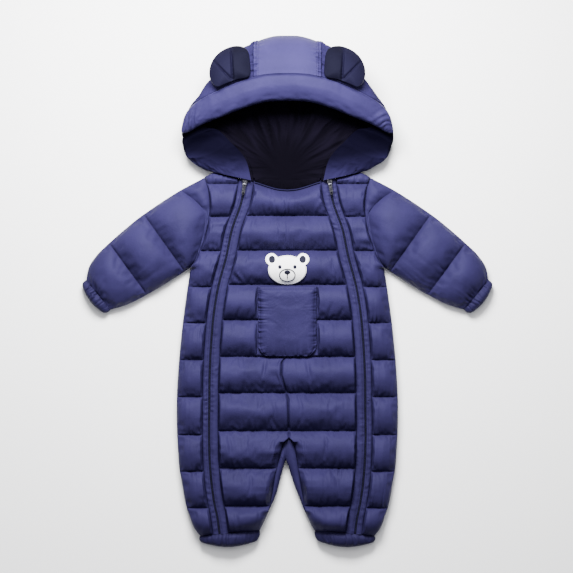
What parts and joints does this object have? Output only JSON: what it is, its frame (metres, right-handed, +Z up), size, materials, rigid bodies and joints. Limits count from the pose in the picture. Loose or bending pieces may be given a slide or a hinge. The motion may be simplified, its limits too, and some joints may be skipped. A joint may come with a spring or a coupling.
{
  "type": "baby snowsuit",
  "caption": "Padded one-piece baby snowsuit laid flat on its back: quilted body, sleeves and legs, an open hood with round ears, two long front zips and a patch pocket.",
  "frame": {"origin": "centre of the base: the middle of the bounding box in plan, on the surface the suit lies on", "axes": "+X to the viewer's right across the suit from above, +Y from the leg hems to the hood, +Z up off the surface, so the front of the suit faces +Z"},
  "size_m": [0.6568, 0.8168, 0.0928],
  "materials": {
    "shell_nylon": "satin woven nylon over padding",
    "ear_nylon": "satin woven nylon, darker",
    "patch_cloth": "matt applique cloth",
    "lining_cloth": "matt lining",
    "piping_cloth": "folded binding",
    "zip_tape": "woven zip tape with closed teeth",
    "zip_metal": "dark plated"
  },
  "bodies": {
    "suit": {"back_panel": "shell_nylon", "bear_patch": "patch_cloth", "crotch_gusset": "shell_nylon", "ear_left": "ear_nylon", "ear_right": "ear_nylon", "front_panel": "shell_nylon", "hood_brim": "shell_nylon", "hood_crown": "shell_nylon", "hood_lining": "lining_cloth", "hood_side_left": "shell_nylon", "hood_side_right": "shell_nylon", "leg_cuff_left": "shell_nylon", "leg_cuff_right": "shell_nylon", "neck_binding": "piping_cloth", "neck_facing": "lining_cloth", "placket_inner_left": "shell_nylon", "placket_inner_right": "shell_nylon", "placket_outer_left": "shell_nylon", "placket_outer_right": "shell_nylon", "pocket": "shell_nylon", "side_panel_left": "shell_nylon", "side_panel_right": "shell_nylon", "sleeve_cuff_left": "shell_nylon", "sleeve_cuff_right": "shell_nylon", "sleeve_left": "shell_nylon", "sleeve_right": "shell_nylon", "zip_left": "zip_tape", "zip_right": "zip_tape", "zip_slider_left": "zip_metal", "zip_slider_right": "zip_metal"},
    "pull_left": {"pull_tab_left": "zip_metal"},
    "pull_right": {"pull_tab_right": "zip_metal"}
  },
  "joints": [
    {"name": "pull_tab_left_hinge", "type": "hinge", "parent": "suit", "child": "pull_left", "pos_m": [-0.0683, 0.172, 0.0275], "axis": [-0.9877, 0.1564, 0], "range_deg": [0, 140]},
    {"name": "pull_tab_right_hinge", "type": "hinge", "parent": "suit", "child": "pull_right", "pos_m": [0.0683, 0.172, 0.0275], "axis": [-0.9877, -0.1564, 0], "range_deg": [0, 140]}
  ]
}
